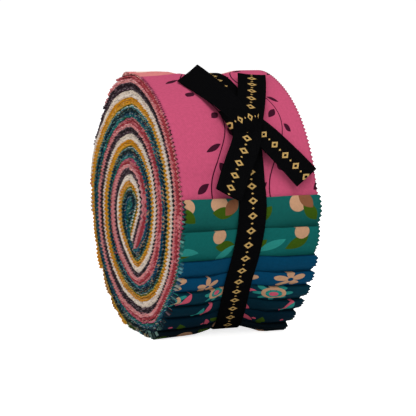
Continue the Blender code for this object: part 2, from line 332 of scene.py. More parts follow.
def tail_end(level):
    """The run at which a strip comes up against the turn round the core, and ends."""
    runs = np.arange(SPIRAL_RUN, SPIRAL_RUN + TAIL_LENGTH, TAIL_SEARCH_STEP)
    front, up, lift = wound_point(runs, level)
    angle = np.degrees(np.arctan2(front, up)) % 360
    radius = np.hypot(front, up)
    around = angle + np.where(angle > TURN_OVERLAP, TAIL_ANGLE - 360, TAIL_ANGLE)
    room = spiral_radius(around, 0) - TAIL_ROOM
    inside = (radius < room) | (runs < SPIRAL_RUN + TAIL_SKIPPED)
    hit = np.argmax(~inside)
    return runs[hit] if not inside.all() else runs[-1]


# ---- the strips ------------------------------------------------------------------------------------
COLUMNS = (
    # place on X in mm, share of the strip's own sideways shift, share of the ribbon's wander
    (-29.7, 1.0, 0.0), (-24.0, 1.0, 0.3), (-19.5, 1.0, 0.7), (-15.5, 0.5, 1.0), (-11.5, 0.3, 1.0),
    (-8.2, 0.0, 1.0), (-6.0, 0.0, 1.0), (6.0, 0.0, 1.0), (8.2, 0.0, 1.0), (11.5, 0.3, 1.0),
    (15.5, 0.5, 1.0), (19.5, 1.0, 0.7), (24.0, 1.0, 0.3), (29.7, 1.0, 0.0),
)
WAIST_FLAT = 6.0 * MM                # half the width the ribbon holds down
WAIST_SLOPE = 12.0 * MM              # from there out to where the roll has its full radius
RESTING = (172.0, 28.0)              # where the roll rests on its -X rim: middle and spread in degrees
SAG = 0.6                            # there, the share of the waist that runs straight out to the rim
SAG_FADE = 1.8 * MM                  # and how fast the rest gives out beside the ribbon
STEP_BACK = 2.2 * MM                 # how far the outermost strips' edges are drawn towards +X
STEP_BACK_AROUND = (125.0, 24.0)     # where they are: middle and spread in degrees
STEP_BACK_DEPTH = 1.5 * MM           # depth into the winding over which that gives out
FOLD_SKEW = 13.0 * MM                # how much later the wrapper's fold comes at the -X end
SKEW_FROM = -5.0 * MM                # place on X from which it comes later
SKEW_FADE = 40.0 * MM                # run behind the fold over which the cloth lies straight again
CUT_UNEVEN = 1.5                     # mm by which the strips' inner ends differ
TOOTH_SHIFT = 0.12                   # how far strips' teeth are out of line, over a tooth's pitch
SIDE_SHIFT = 0.5                     # mm by which a strip stands out of the end faces
OUTER_SIDE_SHIFT = 1.0               # the same for the outermost strips, which slip more
FIRM_STRIPS = 30                     # strips below those
WANDER = 0.25 * MM                   # how far one strip wanders sideways along its run
WANDER_LENGTH = 38.0 * MM
WANDER_STARTS = 6.28                 # radians, about one whole wave

# Cross-lines of a strip's mesh, close on its fold and in the core, and sparse where it is covered.
NOSE_LINES = (0.0, 0.004, 0.012, 0.025, 0.045, 0.07)    # shares of the showing part
WRAPPER_NOSE_LINES = (0.0, 0.0006, 0.002, 0.004, 0.008, 0.012)
SHOWN_STEP = 1.05 * MM
SHOWN_START = 0.5 * MM               # from the nose to the first of these
SHOWN_END_LINES = (0.97, 0.99, 1.0)
JUST_COVERED = 60.0 * MM             # run under the next folds with a line at every second tooth
CORE_EVERY_TOOTH = 45.0 * MM         # run before the spiral's end from which every tooth has a line
CORE_SECOND_TOOTH = 110.0 * MM       # and from which every second one has
SPARSE_TEETH = 4                     # teeth to a line everywhere else
LEAST_COVERED_GAP = 0.2 * MM         # between the last showing line and the first covered one
LEAST_END_GAP = 0.3 * MM
TOOTH_SCAN_STEP = 0.1 * MM
LEAST_GAP = 0.02 * MM                # points of the edge closer than this are one
LEAST_RADIUS = 1.0 * MM              # nearer to the winding centre, nothing is drawn in


def waist_share(x, angle):
    """Share of the waist's depth at a place along the roll."""
    out = max(abs(x) - WAIST_FLAT, 0)
    usual = 1 - smoothstep(out / WAIST_SLOPE)
    if x > 0:
        return usual
    middle, spread = RESTING
    resting = np.exp(-((angle - middle) / spread) ** 2)
    straight_out = SAG * (1 - out / (0.5 * STRIP_WIDTH - WAIST_FLAT))
    sagging = straight_out + (1 - SAG) * math.exp(-out / SAG_FADE)
    return usual + (sagging - usual) * resting


def on_roll(front, up, lift, x, place, loose, follow):
    """Puts points into the frame, drawn in by the ribbon's waist.

    x is each point's place along the roll, and place is where their line lies on the waist. loose and
    follow are how much of the step back and of the ribbon's wander they take up.
    """
    angle = np.degrees(np.arctan2(front, up)) % 360
    radius = np.hypot(front, up)
    depth = np.maximum(outline_radius(angle) - radius, 0)
    share = waist_share(place, angle) * np.clip(1 - depth / WAIST_REACH, 0, 1)
    inward = share * (waist_depth(angle) + (1 - WAIST_FOLD_SHARE) * lift)
    keep = 1 - inward / np.maximum(radius, LEAST_RADIUS)
    middle, spread = STEP_BACK_AROUND
    set_back = STEP_BACK * np.exp(-depth / STEP_BACK_DEPTH - ((angle - middle) / spread) ** 2)
    shifted = x + follow * ribbon_x(angle) + loose * set_back
    return np.stack([shifted, WINDING_Y - front * keep, FLOOR_DROP + up * keep], axis=1)


def teeth_passed(run, k, phase):
    """Teeth of strip k's edge up to a run. The teeth line up in the core, where the winding began."""
    angle = np.interp(run, dense_run, dense)
    outward_lag = LAYER_PITCH * (k - 0.5 * STRIP_COUNT) * np.radians(angle - TAIL_ANGLE)
    return (run + outward_lag) / TOOTH + phase


def strip_stations(k, end_run, phase):
    """Runs of the cross-lines of strip k, and of its edge points, from its fold to its inner end."""
    start = run_at(folds[k])
    span = run_at(folds[k] + fold_spans[k]) - start
    nose = WRAPPER_NOSE_LINES if k == STRIP_COUNT - 1 else NOSE_LINES
    shown = [start + span * share for share in nose]
    shown += list(np.arange(start + span * nose[-1] + SHOWN_START, start + span, SHOWN_STEP))
    shown += [start + span * share for share in SHOWN_END_LINES]
    shown = sorted(shown)
    first_tooth = math.ceil((start + span) / TOOTH)
    last_tooth = math.floor(end_run / TOOTH)
    covered = []
    tooth = first_tooth
    while tooth <= last_tooth:
        run = tooth * TOOTH
        covered.append(run)
        just_covered = run < start + span + JUST_COVERED
        if run > SPIRAL_RUN - CORE_EVERY_TOOTH:
            step = 1
        elif just_covered or run > SPIRAL_RUN - CORE_SECOND_TOOTH:
            step = 2
        else:
            step = SPARSE_TEETH
        tooth += step - tooth % step
    stations = shown + [run for run in covered if run > shown[-1] + LEAST_COVERED_GAP]
    if end_run - stations[-1] > LEAST_END_GAP:
        stations.append(end_run)
    scan = np.arange(start, end_run, TOOTH_SCAN_STEP)
    count = 2 * teeth_passed(scan, k, phase)
    halves = np.interp(np.arange(math.ceil(count[0]), math.floor(count[-1]) + 1), count, scan)
    points = sorted(stations + list(halves))
    kept = [points[0]]
    for run in points[1:]:
        if run - kept[-1] > LEAST_GAP:
            kept.append(run)
        elif run in stations:
            kept[-1] = run
    stations = [run for run in stations if run in kept]
    return np.array(stations), np.array(kept)


def strip_faces(blocks, stations, edge_runs):
    """Faces between the lines of a strip's points, and which of them are the pinked cut.

    blocks has the first point of each line, by the line's name and side.
    """
    at = np.searchsorted(edge_runs, stations)
    last = len(COLUMNS) - 1
    faces = []
    for side in (0, 1):
        for i in range(len(stations) - 1):
            for c in range(last):
                a, b = blocks[c, side] + i, blocks[c + 1, side] + i
                faces.append((a, b, b + 1, a + 1) if side else (a, a + 1, b + 1, b))
            for name, column, turned in (("left", 0, side == 1), ("right", last, side == 0)):
                rim = [blocks[name, side] + j for j in range(at[i], at[i + 1] + 1)]
                rim += [blocks[column, side] + i + 1, blocks[column, side] + i]
                faces.append(tuple(rim[::-1] if turned else rim))
    cut_from = len(faces)
    for name, turned in (("left", False), ("right", True)):
        low, high = blocks[name, 0], blocks[name, 1]
        for j in range(len(edge_runs) - 1):
            wall = (low + j, high + j, high + j + 1, low + j + 1)
            faces.append(wall[::-1] if turned else wall)
    cut_to = len(faces)
    order = ["left"] + list(range(len(COLUMNS))) + ["right"]
    for i, turned in ((0, False), (-1, True)):
        for one, two in zip(order, order[1:]):
            quad = []
            for name, side in ((one, 0), (two, 0), (two, 1), (one, 1)):
                count = len(edge_runs) if name in ("left", "right") else len(stations)
                quad.append(blocks[name, side] + (i % count))
            faces.append(tuple(quad[::-1] if turned else quad))
    cut = np.zeros(len(faces), bool)
    cut[cut_from:cut_to] = True
    return faces, cut


def cloth_mesh(name, vertices, faces, cloth, material, cut=None):
    """An object whose points know their own place on the cloth, smooth but for the faces of its cut."""
    mesh = bpy.data.meshes.new(name)
    mesh.from_pydata(vertices, [], faces)
    smooth = np.ones(len(faces), bool) if cut is None else ~cut
    mesh.polygons.foreach_set("use_smooth", smooth.tolist())
    store = mesh.attributes.new("cloth", "FLOAT_VECTOR", "POINT")
    store.data.foreach_set("vector", np.array(cloth, float).ravel())
    if cut is not None:
        mesh.attributes.new("cut", "FLOAT", "FACE").data.foreach_set("value", cut.astype(float))
    mesh.materials.append(material)
    obj = bpy.data.objects.new(name, mesh)
    bpy.context.collection.objects.link(obj)
    return obj


def build_strip(k, rng, material):
    """One folded strip: a thin closed sheet with pinked edges, from its fold to its inner end."""
    half = 0.5 * STRIP_WIDTH
    end_run = tail_end(k + 0.5) - rng.uniform(0, CUT_UNEVEN) * MM
    phase = rng.uniform(-TOOTH_SHIFT, TOOTH_SHIFT)
    stations, edge_runs = strip_stations(k, end_run, phase)
    reach = OUTER_SIDE_SHIFT if k > FIRM_STRIPS else SIDE_SHIFT
    shift = rng.uniform(-reach, reach) * MM
    wander = rng.uniform(0, WANDER_STARTS)

    def sideways(run):
        """How far the strip lies towards +X at a run."""
        return shift + WANDER * np.sin(run / WANDER_LENGTH + wander)

    def edge_inset(run):
        """How far the pinked edge is cut in at a run: 0 at a tooth's tip."""
        tooth = teeth_passed(run, k, phase) % 1
        return TOOTH_DEPTH * (1 - np.abs(2 * tooth - 1))

    vertices = []
    cloth = []                       # each point's run, place across and strip number
    blocks = {}                      # first point of each line, by the line's name and side

    def skewed(runs, place):
        """The wrapper's fold lies askew, so that it starts later towards the -X end."""
        if k < STRIP_COUNT - 1:
            return runs
        askew = FOLD_SKEW * (1 - np.clip((place + half) / (SKEW_FROM + half), 0, 1) ** 2)
        return runs + askew * np.clip(1 - (runs - stations[0]) / SKEW_FADE, 0, 1)

    def add_line(name, side, runs, x, place, loose, follow):
        """Adds the points along one line of the strip, on its under (0) or upper (1) side."""
        level = k + 1 - PLY_GAP / LAYER_PITCH if side else k
        front, up, lift = wound_point(skewed(runs, place), level)
        rise = (wound_point(runs, level)[2] - lift) / np.hypot(front, up)
        blocks[name, side] = len(cloth)
        vertices.extend(on_roll(front * (1 + rise), up * (1 + rise), lift, x, place, loose, follow))
        across = np.broadcast_to(x, runs.shape)
        cloth.extend(np.stack([runs - stations[0], across, np.full(len(runs), k)], axis=1))

    for side in (0, 1):
        edge = half - edge_inset(edge_runs)
        add_line("left", side, edge_runs, -edge + sideways(edge_runs), -half, 1.0, 0.0)
        for c, (x, share, follow) in enumerate(COLUMNS):
            x = x * MM
            add_line(c, side, stations, x + share * sideways(stations), x, share, follow)
        add_line("right", side, edge_runs, edge + sideways(edge_runs), half, 1.0, 0.0)

    faces, cut = strip_faces(blocks, stations, edge_runs)
    return cloth_mesh(f"strip_{k + 1:02d}", vertices, faces, cloth, material, cut)


# ---- the tied ribbon -------------------------------------------------------------------------------
RIBBON_SHEET = 0.5 * MM              # thickness of the ribbon
RIBBON_EDGE = 0.3                    # share of it left at the woven edge
FREE_ENDS = {
    # rows of angle, x in mm, lift of the underside in mm, tilt in degrees (+X side up)
    "upper_left": ((47, 3.5, 2.0, 0), (38, -1.0, 1.9, 4), (27, -6.6, 2.1, 18), (16.3, -12.0, 3.4, 31)),
    "upper_right": ((47, 5.0, 1.2, 0), (39, 9.0, 1.0, 0), (26, 15.0, 0.6, 0), (12.6, 20.8, 0.8, 0)),
    "lower_left": ((47, 4.5, 2.3, 0), (57, 1.2, 1.7, 0), (66, -4.2, 1.5, 0), (78.6, -12.0, 2.6, 0)),
    "lower_right": ((47, 4.0, 1.6, 0), (54, 10.8, 1.2, 0), (61.5, 17.0, 1.0, 0), (72.9, 26.0, 1.7, 0)),
}
PLAIN_END = "upper_left"             # the free end that shows its plain underside
END_STEPS = 40
END_CUP = 0.35 * MM                  # how far a free end's edges stand up over its middle
CUP_LEVEL = 0.3                      # square of the place across it that stays level
BAND_STEP = 2.0                      # degrees
FOLD_CREST = 0.32                    # highest point of the solid's folds over their height
RIBBON_COLUMNS = (-1.0, -0.94, -0.7, -0.35, 0.0, 0.35, 0.7, 0.94, 1.0)    # over its half width
KNOT_ANGLE = 47.0
KNOT_X = 3.0 * MM
KNOT_SIZE = (19.0 * MM, 14.0 * MM, 4.8 * MM)    # along X, round the roll, outward
KNOT_TAPER = 0.64                    # width of the knot's lower edge over that of its upper edge
KNOT_SEAT = 1.0 * MM                 # how far its underside lies below the roll's full outline
KNOT_RIM = 0.3                       # height of its rim over its full height
KNOT_UNDERSIDE = 0.25                # how far its underside rounds up, over its full height
KNOT_SQUARENESS = 3                  # 2 would make it an oval, and more makes it squarer
KNOT_STEPS = 24                      # faces along and across each side of its mesh
KNOT_CREASES = (
    # middle at half height, lean, width, strength; over half the knot's width
    (-0.35, 0.25, 0.09, 1.0),
    (0.3, 0.3, 0.08, 0.8),
)
KNOT_CREASE_DEPTH = 0.5 * MM
KNOT_WEAVE_LEAN = (1.5 * MM, 2.0 * MM)    # how askew the ribbon's weave lies on it


def outward(angle):
    """The direction away from the winding centre at an angle."""
    turn = math.radians(angle)
    return Vector((0.0, -math.sin(turn), math.cos(turn)))


def roll_point(angle, radius, x):
    """The point at an angle and a radius from the winding centre, and a place on X."""
    return Vector((x, WINDING_Y, FLOOR_DROP)) + outward(angle) * radius


def outline_at(angle):
    """The outline's radius at one angle."""
    return float(outline_radius(np.array([angle]))[0])


def ribbon_sheet(name, frames, closed, material, cup=0.0, printed=1):
    """A woven ribbon along frames of (middle of the underside, across, outward), and its length.

    cup is how far its edges stand up, and printed is 1 where its outer side shows the woven marks.
    """
    rows = []
    vertices = []
    cloth = []
    run = 0.0
    for i, (middle, across, out) in enumerate(frames):
        if i:
            run += (middle - frames[i - 1][0]).length
        row = []
        for side in (0, 1):
            for place in RIBBON_COLUMNS:
                thickness = RIBBON_EDGE if abs(place) == 1.0 else 1.0
                lift = RIBBON_SHEET * (0.5 + (side - 0.5) * thickness)
                lift += cup * (place * place - CUP_LEVEL)
                row.append(len(vertices))
                vertices.append(middle + across * (0.5 * RIBBON_WIDTH * place) + out * lift)
                cloth.append((run, 0.5 * RIBBON_WIDTH * place, printed * side))
        rows.append(row)
    count = len(RIBBON_COLUMNS)
    ring = list(range(count)) + list(range(2 * count - 1, count - 1, -1))
    pairs = list(zip(rows, rows[1:]))
    if closed:
        pairs.append((rows[-1], rows[0]))
    faces = []
    for near, far in pairs:
        for a, b in zip(ring, ring[1:] + ring[:1]):
            faces.append((near[a], near[b], far[b], far[a]))
    if closed:
        run += (frames[0][0] - frames[-1][0]).length
    else:
        faces.append([rows[0][a] for a in reversed(ring)])
        faces.append([rows[-1][a] for a in ring])
    return cloth_mesh(name, vertices, faces, cloth, material), run


def build_band(material):
    """The ribbon's way once round the waist, closed under the knot."""
    frames = []
    crest = FOLD_CREST * FOLD_HEIGHT_MAX * WAIST_FOLD_SHARE
    for i in range(round(360 / BAND_STEP)):
        angle = (KNOT_ANGLE + BAND_STEP * i) % 360
        radius = outline_at(angle) - float(waist_depth(angle)) + crest + CLEARANCE
        x = float(ribbon_x(angle)[0])
        frames.append((roll_point(angle, radius, x), Vector((1, 0, 0)), outward(angle)))
    return ribbon_sheet("ribbon_band", frames, True, material)


def build_free_end(name, rows, material):
    """One free end of the ribbon, from inside the knot outward."""
    keys = np.array([row[0] for row in rows], float)
    order = np.argsort(keys)
    table = smooth_table([rows[i] for i in order])
    angles = np.linspace(keys[0], keys[-1], END_STEPS + 1)
    middles, tilts, outs = [], [], []
    for angle in angles:
        x, lift, tilt = table(angle)[0]
        middles.append(roll_point(angle, outline_at(angle) + lift * MM, x * MM))
        tilts.append(math.radians(tilt))
        outs.append(outward(angle))
    frames = []
    for i, middle in enumerate(middles):
        along = (middles[min(i + 1, END_STEPS)] - middles[max(i - 1, 0)]).normalized()
        across = outs[i].cross(along).normalized()
        if across.x < 0:
            across.negate()
        out = (outs[i] - along * outs[i].dot(along)).normalized()
        turned = across * math.cos(tilts[i]) + out * math.sin(tilts[i])
        frames.append((middle, turned, out * math.cos(tilts[i]) - across * math.sin(tilts[i])))
    printed = 0 if name == PLAIN_END else 1
    return ribbon_sheet("ribbon_" + name, frames, False, material, END_CUP, printed)


def build_knot(material):
    """The pulled-tight wrap over the crossing, rounded, creased and narrower below."""
    steps = KNOT_STEPS
    vertices, cloth, faces = [], [], []
    out = outward(KNOT_ANGLE)
    down = Vector((0.0, -math.cos(math.radians(KNOT_ANGLE)), -math.sin(math.radians(KNOT_ANGLE))))
    base = roll_point(KNOT_ANGLE, outline_at(KNOT_ANGLE) - KNOT_SEAT, KNOT_X)
    width, height, depth = KNOT_SIZE
    lean_along, lean_across = KNOT_WEAVE_LEAN
    for side in (0, 1):
        for j in range(steps + 1):
            for i in range(steps + 1):
                u, v = 2 * i / steps - 1, 2 * j / steps - 1
                taper = 1 + (KNOT_TAPER - 1) * (0.5 + 0.5 * v)
                round_u = math.sqrt(max(0.0, 1 - abs(u) ** KNOT_SQUARENESS))
                round_v = math.sqrt(max(0.0, 1 - abs(v) ** KNOT_SQUARENESS))
                top = (KNOT_RIM + (1 - KNOT_RIM) * round_u * round_v) * depth
                for start, lean, spread, strength in KNOT_CREASES:
                    crease = strength * math.exp(-((u - start - lean * v) / spread) ** 2)
                    top -= KNOT_CREASE_DEPTH * crease * round_v
                lift = top if side else KNOT_UNDERSIDE * depth * (1 - round_u * round_v)
                point = base + Vector((1, 0, 0)) * (0.5 * width * taper * u)
                vertices.append(point + down * (0.5 * height * v) + out * lift)
                along = 0.5 * width * u - lean_along * v
                across = 0.5 * height * v + lean_across * u
                cloth.append((along, across, side))
    row = steps + 1
    half = row * row
    for j in range(steps):
        for i in range(steps):
            a = j * row + i
            faces.append((a, a + row, a + row + 1, a + 1))
            b = a + half
            faces.append((b, b + 1, b + row + 1, b + row))
    rim = list(range(steps)) + [steps + row * j for j in range(steps)]
    rim += [steps * row + steps - i for i in range(steps)] + [row * (steps - j) for j in range(steps)]
    for a, b in zip(rim, rim[1:] + rim[:1]):
        faces.append((a, b, b + half, a + half))
    return cloth_mesh("ribbon_knot", vertices, faces, cloth, material)


# ---- materials -------------------------------------------------------------------------------------
def linear(code):
    """An sRGB hex colour as linear light."""
    values = [int(code[i:i + 2], 16) / 255 for i in (1, 3, 5)]
    return [v / 12.92 if v <= 0.04045 else ((v + 0.055) / 1.055) ** 2.4 for v in values] + [1.0]


def add(tree, kind, inputs=(), **settings):
    """Adds a node. Its inputs are values, nodes (their first output) or sockets, by place or name."""
    made = tree.nodes.new("ShaderNode" + kind)
    for key, value in settings.items():
        setattr(made, key, value)
    for key, value in inputs.items() if isinstance(inputs, dict) else enumerate(inputs):
        if isinstance(value, bpy.types.Node):
            value = value.outputs[0]
        if isinstance(value, bpy.types.NodeSocket):
            tree.links.new(value, made.inputs[key])
        else:
            made.inputs[key].default_value = value
    return made


def new_material(name, roughness, specular):
    """A material with its node tree and its shader."""
    material = bpy.data.materials.new(name)
    material.use_nodes = True
    tree = material.node_tree
    shader = tree.nodes["Principled BSDF"]
    shader.inputs["Roughness"].default_value = roughness
    shader.inputs["Specular IOR Level"].default_value = specular
    return material, tree, shader


def cloth_place(tree):
    """The cloth's own (along, across) in millimetres, with the strip's number as the third part."""
    cloth = add(tree, "Attribute", attribute_name="cloth")
    return add(tree, "VectorMath", [cloth.outputs["Vector"], (1 / MM, 1 / MM, 1)], operation="MULTIPLY")


JITTER = 0.3                         # share of its cell in which a motif's middle may lie
PETAL_DEPTH = 0.75                   # how deep a blossom is cut between its petals, over its radius
STEM_LEAF_PITCH = 3.2                # from one leaf on a stem to the next, over the leaf's size
STEM_LEAF_STAGGER = 0.25             # how far leaves on the two sides are moved, over that pitch
STEM_LEAF_LEAN = 0.75                # slope of a leaf to its stem
STEM_LEAF_OUT = 0.75                 # from the stem to a leaf's middle, over the leaf's size
STEM_LEAF_LENGTH = 0.8               # how far a leaf reaches along its slope, over its size


def scattered(tree, place, cell, first, seed):
    """Each motif's own (x, y) in millimetres, one to a cell, jittered and turned by chance.

    first is how far along the cloth the first row of motifs lies.
    """
    start = (0.5 - first / cell, seed, seed)
    spots = add(tree, "VectorMath", [place, (1 / cell, 1 / cell, 1), start], operation="MULTIPLY_ADD")
    index = add(tree, "VectorMath", [spots], operation="FLOOR")
    local = add(tree, "VectorMath", [spots, index], operation="SUBTRACT")
    chance = add(tree, "TexWhiteNoise", {"Vector": index}, noise_dimensions="3D")
    least = 0.5 - JITTER / 2
    offset = [chance.outputs["Color"], (JITTER, JITTER, 0), (least, least, 0)]
    centre = add(tree, "VectorMath", offset, operation="MULTIPLY_ADD")
    away = add(tree, "VectorMath", [local, centre], operation="SUBTRACT")
    away = add(tree, "VectorMath", [away, (cell, cell, 0)], operation="MULTIPLY")
    angle = add(tree, "Math", [chance, 2 * math.pi], operation="MULTIPLY")
    return add(tree, "VectorRotate", {"Vector": away, "Angle": angle}, rotation_type="Z_AXIS")


def motif_mask(tree, place, kind, cell, size, shape, first, seed):
    """1 inside the motifs of one kind and 0 outside them."""
    spot = scattered(tree, place, cell, first, seed)
    split = add(tree, "SeparateXYZ", [spot])
    x, y = split.outputs[0], split.outputs[1]
    if kind == "leaf":
        share = add(tree, "Math", [x, size], operation="DIVIDE")
        square = add(tree, "Math", [share, share], operation="MULTIPLY")
        width = add(tree, "Math", [square, -size * shape, size * shape], operation="MULTIPLY_ADD")
        off = add(tree, "Math", [y], operation="ABSOLUTE")
        return add(tree, "Math", [off, width], operation="LESS_THAN")
    distance = add(tree, "VectorMath", [spot], operation="LENGTH").outputs["Value"]
    if kind == "ring":
        off = add(tree, "Math", [distance, size], operation="SUBTRACT")
        off = add(tree, "Math", [off], operation="ABSOLUTE")
        return add(tree, "Math", [off, size * shape], operation="LESS_THAN")
    if kind == "dot":
        return add(tree, "Math", [distance, size], operation="LESS_THAN")
    turn = add(tree, "Math", [y, x], operation="ARCTAN2")
    petals = add(tree, "Math", [turn, shape / 2], operation="MULTIPLY")
    petals = add(tree, "Math", [petals], operation="COSINE")
    petals = add(tree, "Math", [petals], operation="ABSOLUTE")
    deep, solid = PETAL_DEPTH * size, (1 - PETAL_DEPTH) * size
    reach = add(tree, "Math", [petals, deep, solid], operation="MULTIPLY_ADD")
    return add(tree, "Math", [distance, reach], operation="LESS_THAN")


def stem_mask(tree, place, pitch, sway, wave, thick, leaf, shape):
    """Thin swaying stems along the cloth, with leaves on both sides in turn; sizes in millimetres."""
    leaf_pitch = STEM_LEAF_PITCH * leaf
    split = add(tree, "SeparateXYZ", [place])
    along, across = split.outputs[0], split.outputs[1]
    turn = add(tree, "Math", [along, 2 * math.pi / wave], operation="MULTIPLY")
    bend = add(tree, "Math", [turn], operation="SINE")
    across = add(tree, "Math", [bend, sway, across], operation="MULTIPLY_ADD")
    row = add(tree, "Math", [across, pitch], operation="DIVIDE")
    row = add(tree, "Math", [row], operation="FRACT")
    off = add(tree, "Math", [row, pitch, -0.5 * pitch], operation="MULTIPLY_ADD")
    side = add(tree, "Math", [off], operation="ABSOLUTE")
    stem = add(tree, "Math", [side, thick], operation="LESS_THAN")
    step = add(tree, "Math", [along, leaf_pitch], operation="DIVIDE")
    flip = add(tree, "Math", [off], operation="SIGN")
    step = add(tree, "Math", [flip, STEM_LEAF_STAGGER, step], operation="MULTIPLY_ADD")
    step = add(tree, "Math", [step], operation="FRACT")
    back = add(tree, "Math", [step, leaf_pitch, -0.5 * leaf_pitch], operation="MULTIPLY_ADD")
    out = add(tree, "Math", [side, -STEM_LEAF_OUT * leaf], operation="ADD")
    lean = add(tree, "Math", [back, STEM_LEAF_LEAN, out], operation="MULTIPLY_ADD")
    cross = add(tree, "Math", [out, -STEM_LEAF_LEAN, back], operation="MULTIPLY_ADD")
    cross = add(tree, "Math", [cross], operation="ABSOLUTE")
    share = add(tree, "Math", [lean, STEM_LEAF_LENGTH * leaf], operation="DIVIDE")
    square = add(tree, "Math", [share, share], operation="MULTIPLY")
    width = add(tree, "Math", [square, -leaf * shape, leaf * shape], operation="MULTIPLY_ADD")
    blade = add(tree, "Math", [cross, width], operation="LESS_THAN")
    return add(tree, "Math", [stem, blade], operation="MAXIMUM")


THREAD_PITCH = 0.75                  # mm; real threads lie 0.37 apart, drawn coarse enough to show
WEAVE_SHADE = 0.09                   # how much the crossing threads lighten and darken the colour
WEAVE_BUMP = 0.25
BUMP_DEPTH = 0.0001                  # m, about half a thread
SLUB_SCALE = 0.9                     # uneven dye in the yarn, in patches of about a millimetre
SLUB_DETAIL = 3.0
SLUB_SHADE = 0.36                    # from the palest patch to the darkest
TUFT = 0.95                          # mm along a cut edge from one frayed tuft to the next
# A range goes from one value to another, then says its strength at either end.
TUFT_BARE = (0.68, 0.85, 0.0, 0.5)   # a tuft's own chance, from which it is bare
TUFT_SUNK_SHADE = (0.25, 0.15, 0.0, 0.45)  # a tuft's own chance, below which it is painted in shade, as if it lay back
TIP_BARE = (31.3, 31.7, 0.0, 0.05)   # mm off the strip's middle, where the tip of a tooth is fuzzy
NOTCH_SHADE = (30.75, 31.4, 0.9, 0.0)    # mm off the middle, where the notch between two teeth ends: painted shade, darkest in the notch
PAINTED_SHADE = "#1E1519"                      # colour of the painted shade in the notches and on the tufts that lie back


def printed_cotton(name, ground, lint, motifs):
    """Plain-woven quilting cotton, dyed and screen-printed: matt, with a fine even thread grain.

    The pinked cut bares tufts of paler fibre, and has painted shade in its notches and on the tufts that
    lie back, so it looks flecked.
    """
    material, tree, shader = new_material("printed_cotton_" + name, roughness=0.95, specular=0.06)
    place = cloth_place(tree)
    split = add(tree, "SeparateXYZ", [place])
    cut = add(tree, "Attribute", attribute_name="cut").outputs["Fac"]
    inked = add(tree, "Math", [1.0, cut], operation="SUBTRACT")
    colour = linear(ground)
    for kind, ink, *sizes in motifs:
        if kind == "stem":
            mask = stem_mask(tree, place, *sizes)
        else:
            mask = motif_mask(tree, place, kind, *sizes)
        mask = add(tree, "Math", [mask, inked], operation="MULTIPLY")
        colour = add(tree, "MixRGB", [mask, colour, linear(ink)])
    warp = add(tree, "Math", [split.outputs[0], 2 * math.pi / THREAD_PITCH], operation="MULTIPLY")
    weft = add(tree, "Math", [split.outputs[1], 2 * math.pi / THREAD_PITCH], operation="MULTIPLY")
    warp = add(tree, "Math", [warp], operation="SINE")
    weft = add(tree, "Math", [weft], operation="SINE")
    weave = add(tree, "Math", [warp, weft], operation="MULTIPLY")
    slubs = add(tree, "TexNoise", {"Vector": place, "Scale": SLUB_SCALE, "Detail": SLUB_DETAIL})
    shade = add(tree, "Math", [weave, WEAVE_SHADE, 1.0], operation="MULTIPLY_ADD")
    uneven = add(tree, "Math", [slubs, SLUB_SHADE, -0.5 * SLUB_SHADE], operation="MULTIPLY_ADD")
    shade = add(tree, "Math", [shade, uneven], operation="ADD")
    colour = add(tree, "MixRGB", [1.0, colour, shade], blend_type="MULTIPLY")
    side = add(tree, "Math", [split.outputs[1]], operation="ABSOLUTE")
    tip = add(tree, "MapRange", [side, *TIP_BARE])
    tufts = add(tree, "VectorMath", [place, (1 / TUFT, 0, 1)], operation="MULTIPLY")
    tufts = add(tree, "VectorMath", [tufts], operation="FLOOR")
    tuft_chance = add(tree, "TexWhiteNoise", {"Vector": tufts}, noise_dimensions="3D")
    bare = add(tree, "MapRange", [tuft_chance, *TUFT_BARE])
    bare = add(tree, "Math", [bare, tip], operation="MAXIMUM")
    bare = add(tree, "Math", [bare, cut], operation="MULTIPLY")
    colour = add(tree, "MixRGB", [bare, colour, linear(lint)])
    # painted shade on the tufts that lie back
    painted_sunk_shade = add(tree, "MapRange", [tuft_chance, *TUFT_SUNK_SHADE])
    painted_sunk_shade = add(tree, "Math", [painted_sunk_shade, cut], operation="MULTIPLY")
    colour = add(tree, "MixRGB", [painted_sunk_shade, colour, linear(PAINTED_SHADE)])
    # painted shade in the notch between two teeth
    notch = add(tree, "MapRange", [side, *NOTCH_SHADE])
    notch = add(tree, "Math", [notch, cut], operation="MULTIPLY")
    colour = add(tree, "MixRGB", [notch, colour, linear(PAINTED_SHADE)])
    bump = add(tree, "Bump", {"Strength": WEAVE_BUMP, "Distance": BUMP_DEPTH, "Height": weave})
    tree.links.new(colour.outputs[0], shader.inputs["Base Color"])
    tree.links.new(bump.outputs[0], shader.inputs["Normal"])
    return material


RIB_PITCH = 0.8                      # mm; real ribs lie half as far apart, drawn coarse enough to show
RIB_BUMP = 0.5
RIBBON_BLACK = ("#050506", "#0C0C0D")
RIBBON_SLUB_SCALE = 1.2
MARK_GOLD = "#B5945A"
MARK_PITCH = 6.4                     # mm from one diamond to the next
MARKS = (
    # place over the pitch, half length and half height in mm, share of them that is hollow
    (0.0, 1.6, 2.2, 0.45),
    (0.5, 0.45, 0.65, 0.0),
)


